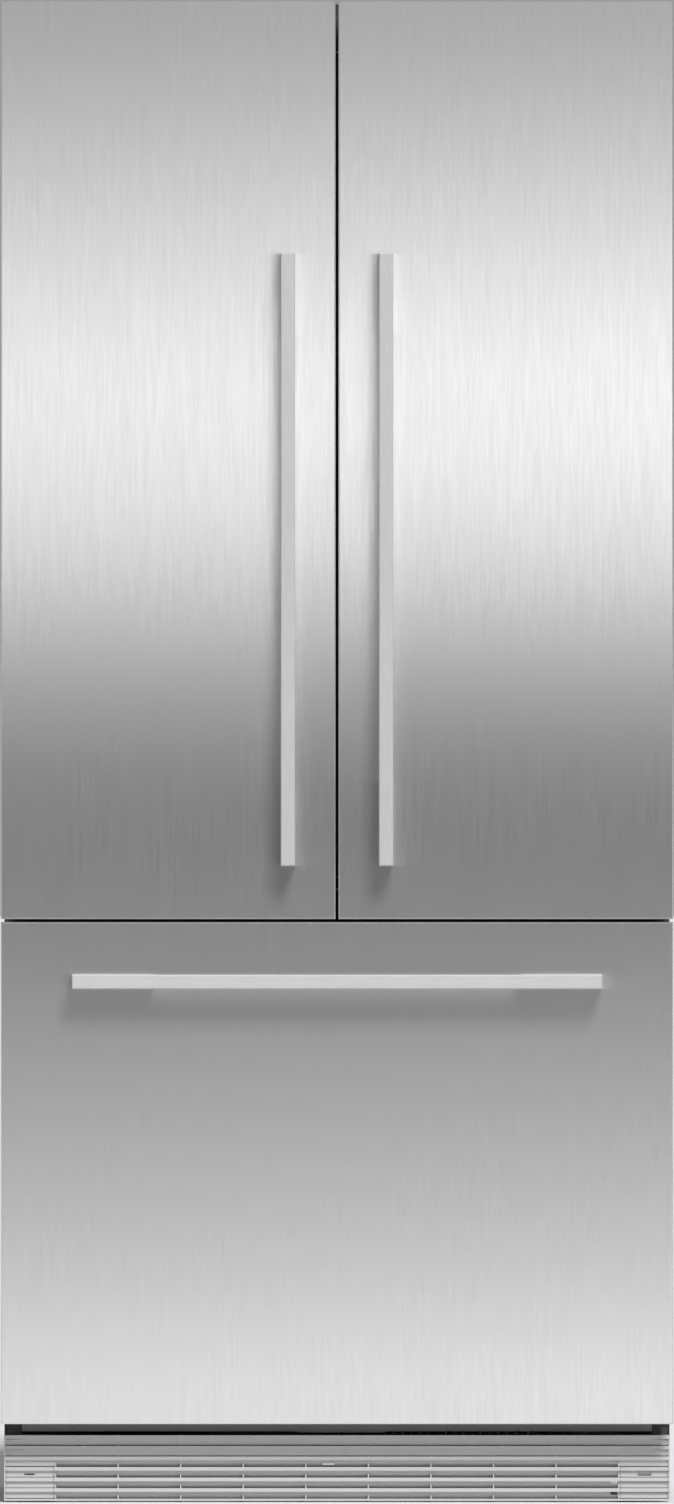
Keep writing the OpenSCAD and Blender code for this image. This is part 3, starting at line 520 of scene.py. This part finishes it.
def door_seal(node, body):
    """A folded rubber seal with a magnet tube, in the space of the plain ring from CAD."""
    low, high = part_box(node)
    middle = SEAL_WIDTH / 2
    section = [(middle - u * SEAL_WIDTH, v) for u, v in SEAL_HALF]
    section += [(middle + u * SEAL_WIDTH, v) for u, v in reversed(SEAL_HALF)]
    vertices = []
    for u, v in section:
        y = low.y + v * (high.y - low.y)
        vertices += [(low.x + u, y, low.z + u), (high.x - u, y, low.z + u)]
        vertices += [(high.x - u, y, high.z - u), (low.x + u, y, high.z - u)]
    faces = []
    for i in range(len(section)):
        here, there = 4 * i, 4 * ((i + 1) % len(section))
        for side in range(4):
            after = (side + 1) % 4
            faces.append((here + side, there + side, there + after, here + after))
    seal = make_mesh(node + "_profile", vertices, faces)
    paint(seal, GASKET)
    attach(seal, body)
    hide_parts(node)


end_wipers()
for node, body in (
    ("left_door_gasket", "left_door"),
    ("right_door_gasket", "right_door"),
    ("drawer_gasket", "freezer_drawer"),
):
    door_seal(node, body)


# ---------- studio ----------


FLOOR_HALF = 100.0


def studio_floor():
    """A plain pale matt floor, wide enough to fill the view from any side."""
    far = FLOOR_HALF
    corners = [(-far, -far, 0), (far, -far, 0), (far, far, 0), (-far, far, 0)]
    floor = make_mesh("floor", corners, [(0, 1, 2, 3)])
    look = Shader("floor_paint", (0.8, 0.8, 0.8), 0.9, Specular_IOR_Level=0.0)
    look.tint(look.noise(1.5), 0.01)
    paint(floor, look.material)


CAMERA_DISTANCE = 28.0
SENSOR_WIDTH = 36.0
EYE_HEIGHT = (cad_high.z + cad_low.z) / 2
# The picture is this much taller than the refrigerator
FRAME_MARGIN = 1.0005

# The light box in front of the refrigerator: sizes in metres, angles in degrees, power in watts
SCREEN_DISTANCE = 2.7
SCREEN_HALF_WIDTH = 5.0
SCREEN_TOP = 2.4
SCREEN_SPREAD = 50.0
SCREEN_TURN = 15.0
SCREEN_POWER = 7.0
BOARD_SETBACK = 1.5
# How bright it looks in the steel at each height, fitted to the photograph
SCREEN_LEVELS = (
    (0.15, 1.3),
    (0.5, 0.7),
    (0.75, 0.25),
    (0.95, 0.05),
    (1.1, 0.5),
    (1.3, 1.75),
    (1.5, 2.25),
    (1.75, 1.35),
    (2.0, 0.55),
)

# The key light: irradiance in W/m2, angles in degrees
KEY_STRENGTH = 3.2
KEY_SIZE = 20
KEY_TILT = 45
KEY_TURN = 18
WORLD_STRENGTH = 0.3


def mirrored_height(z):
    """Where on the screen the steel at height z shows the camera."""
    return z + (z - EYE_HEIGHT) * SCREEN_DISTANCE / CAMERA_DISTANCE


def studio_screen():
    """A wide light box lit in soft bands, with a grid that sends its light towards the left."""
    lamp = bpy.data.lights.new("screen", "AREA")
    lamp.shape = "RECTANGLE"
    lamp.size = 2 * SCREEN_HALF_WIDTH
    lamp.size_y = SCREEN_TOP
    lamp.spread = math.radians(SCREEN_SPREAD)
    lamp.energy = SCREEN_POWER
    lamp.use_nodes = True
    tree = lamp.node_tree
    emission = tree.nodes["Emission"]
    place = tree.nodes.new("ShaderNodeNewGeometry")
    axes = tree.nodes.new("ShaderNodeSeparateXYZ")
    height = tree.nodes.new("ShaderNodeMath")
    height.operation = "DIVIDE"
    height.inputs[1].default_value = SCREEN_TOP
    ramp = tree.nodes.new("ShaderNodeValToRGB")
    stops = ramp.color_ramp.elements
    while len(stops) < len(SCREEN_LEVELS):
        # the loop below moves it into place
        stops.new(0.5)
    brightest = max(level for z, level in SCREEN_LEVELS)
    for stop, (z, level) in zip(stops, SCREEN_LEVELS):
        stop.position = mirrored_height(z) / SCREEN_TOP
        stop.color = (level / brightest, level / brightest, level / brightest, 1.0)
    emission.inputs["Strength"].default_value = brightest
    tree.links.new(place.outputs["Position"], axes.inputs["Vector"])
    tree.links.new(axes.outputs["Z"], height.inputs[0])
    tree.links.new(height.outputs["Value"], ramp.inputs["Fac"])
    tree.links.new(ramp.outputs["Color"], emission.inputs["Color"])
    screen = add_object("screen", lamp)
    screen.location = (0.0, cad_low.y - SCREEN_DISTANCE, SCREEN_TOP / 2)
    screen.rotation_euler = (math.radians(90), 0.0, math.radians(SCREEN_TURN))
    # the camera and matt surfaces don't see it
    screen.visible_camera = False
    screen.visible_diffuse = False


def studio_board():
    """A black board behind the light box, which the steel mirrors where the box looks dark."""
    y = cad_low.y - SCREEN_DISTANCE - BOARD_SETBACK
    side = SCREEN_HALF_WIDTH + BOARD_SETBACK
    corners = [(-side, y, 0), (side, y, 0), (side, y, SCREEN_TOP), (-side, y, SCREEN_TOP)]
    board = make_mesh("board", corners, [(0, 1, 2, 3)])
    look = Shader("board_felt", (0.004, 0.004, 0.004), 1.0, Specular_IOR_Level=0.0)
    look.tint(look.noise(60.0), 0.2)
    paint(board, look.material)
    board.visible_camera = False
    board.visible_diffuse = False
    board.visible_shadow = False


def studio_key():
    """A soft key light from the upper right, in front."""
    lamp = bpy.data.lights.new("key", "SUN")
    lamp.energy = KEY_STRENGTH
    lamp.angle = math.radians(KEY_SIZE)
    key = add_object("key", lamp)
    key.rotation_euler = (math.radians(KEY_TILT), 0.0, math.radians(KEY_TURN))


def studio_world():
    """Even white light from all round."""
    world = bpy.data.worlds.new("studio")
    world.use_nodes = True
    back = world.node_tree.nodes["Background"]
    back.inputs["Color"].default_value = (1.0, 1.0, 1.0, 1.0)
    back.inputs["Strength"].default_value = WORLD_STRENGTH
    SCENE.world = world


def studio_camera():
    """A long lens straight in front, as the refrigerator is photographed."""
    data = bpy.data.cameras.new("camera")
    data.sensor_width = SENSOR_WIDTH
    height = cad_high.z - cad_low.z
    face_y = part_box("left_door_panel")[0].y
    data.lens = SENSOR_WIDTH * CAMERA_DISTANCE / (height * FRAME_MARGIN)
    camera = add_object("camera", data)
    camera.location = (0.0, face_y - CAMERA_DISTANCE, EYE_HEIGHT)
    camera.rotation_euler = (math.radians(90), 0.0, 0.0)
    SCENE.camera = camera


studio_floor()
studio_screen()
studio_board()
studio_key()
studio_world()
studio_camera()
SCENE.view_settings.view_transform = "Standard"
